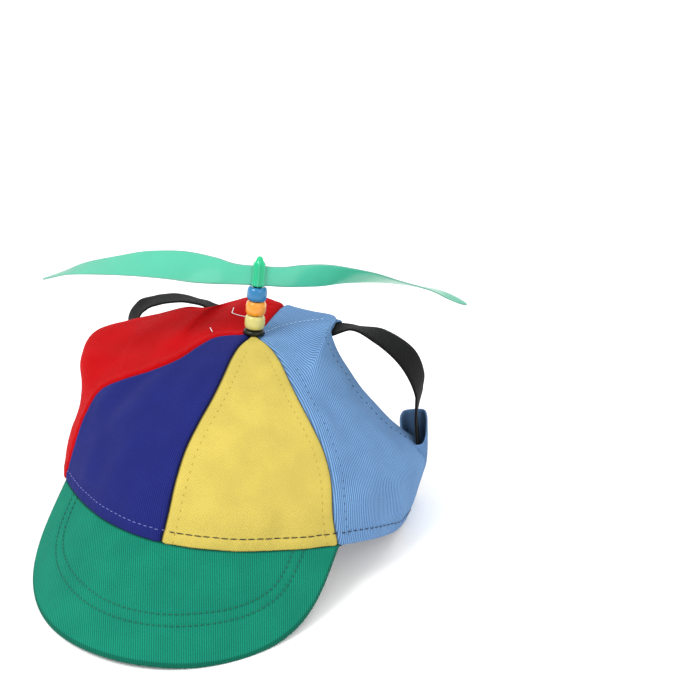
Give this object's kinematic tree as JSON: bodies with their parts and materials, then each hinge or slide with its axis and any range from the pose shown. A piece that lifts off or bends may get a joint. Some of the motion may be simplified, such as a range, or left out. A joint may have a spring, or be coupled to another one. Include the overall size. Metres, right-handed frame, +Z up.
{
  "type": "propeller cap",
  "caption": "Cloth cap with coloured crown panels, ear openings, stiff brim and elastic strap, topped by a propeller that spins on a beaded spindle.",
  "frame": {"origin": "middle of the bounding box in X and Y, on the surface that the cap rests on", "axes": "+X to the wearer's left (the sky blue side), -Y out of the brim, +Z up from the surface that the cap rests on"},
  "size_m": [0.1659, 0.1888, 0.1135],
  "materials": {
    "twill_blue": "cotton twill",
    "twill_yellow": "cotton twill",
    "twill_red": "cotton twill",
    "twill_sky": "cotton twill",
    "twill_green": "cotton twill over a stiff board",
    "elastic_black": "woven elastic",
    "gunmetal": "dark plated",
    "bead_yellow": "moulded, glossy",
    "bead_orange": "moulded, glossy",
    "bead_blue": "moulded, glossy",
    "propeller_green": "translucent moulded plastic"
  },
  "bodies": {
    "cap": {"front_panel_blue": "twill_blue", "front_panel_yellow": "twill_yellow", "side_panel_red": "twill_red", "side_panel_sky": "twill_sky", "brim": "twill_green", "strap": "elastic_black", "washer": "gunmetal", "bead_yellow": "bead_yellow", "bead_orange": "bead_orange", "bead_blue": "bead_blue", "spindle": "gunmetal"},
    "propeller": {"propeller": "propeller_green"}
  },
  "joints": [
    {"name": "propeller_spin", "type": "hinge", "parent": "cap", "child": "propeller", "pos_m": [0.0006, 0.04812, 0.0775], "axis": [0, 0.1959, 0.9806], "continuous": true}
  ]
}
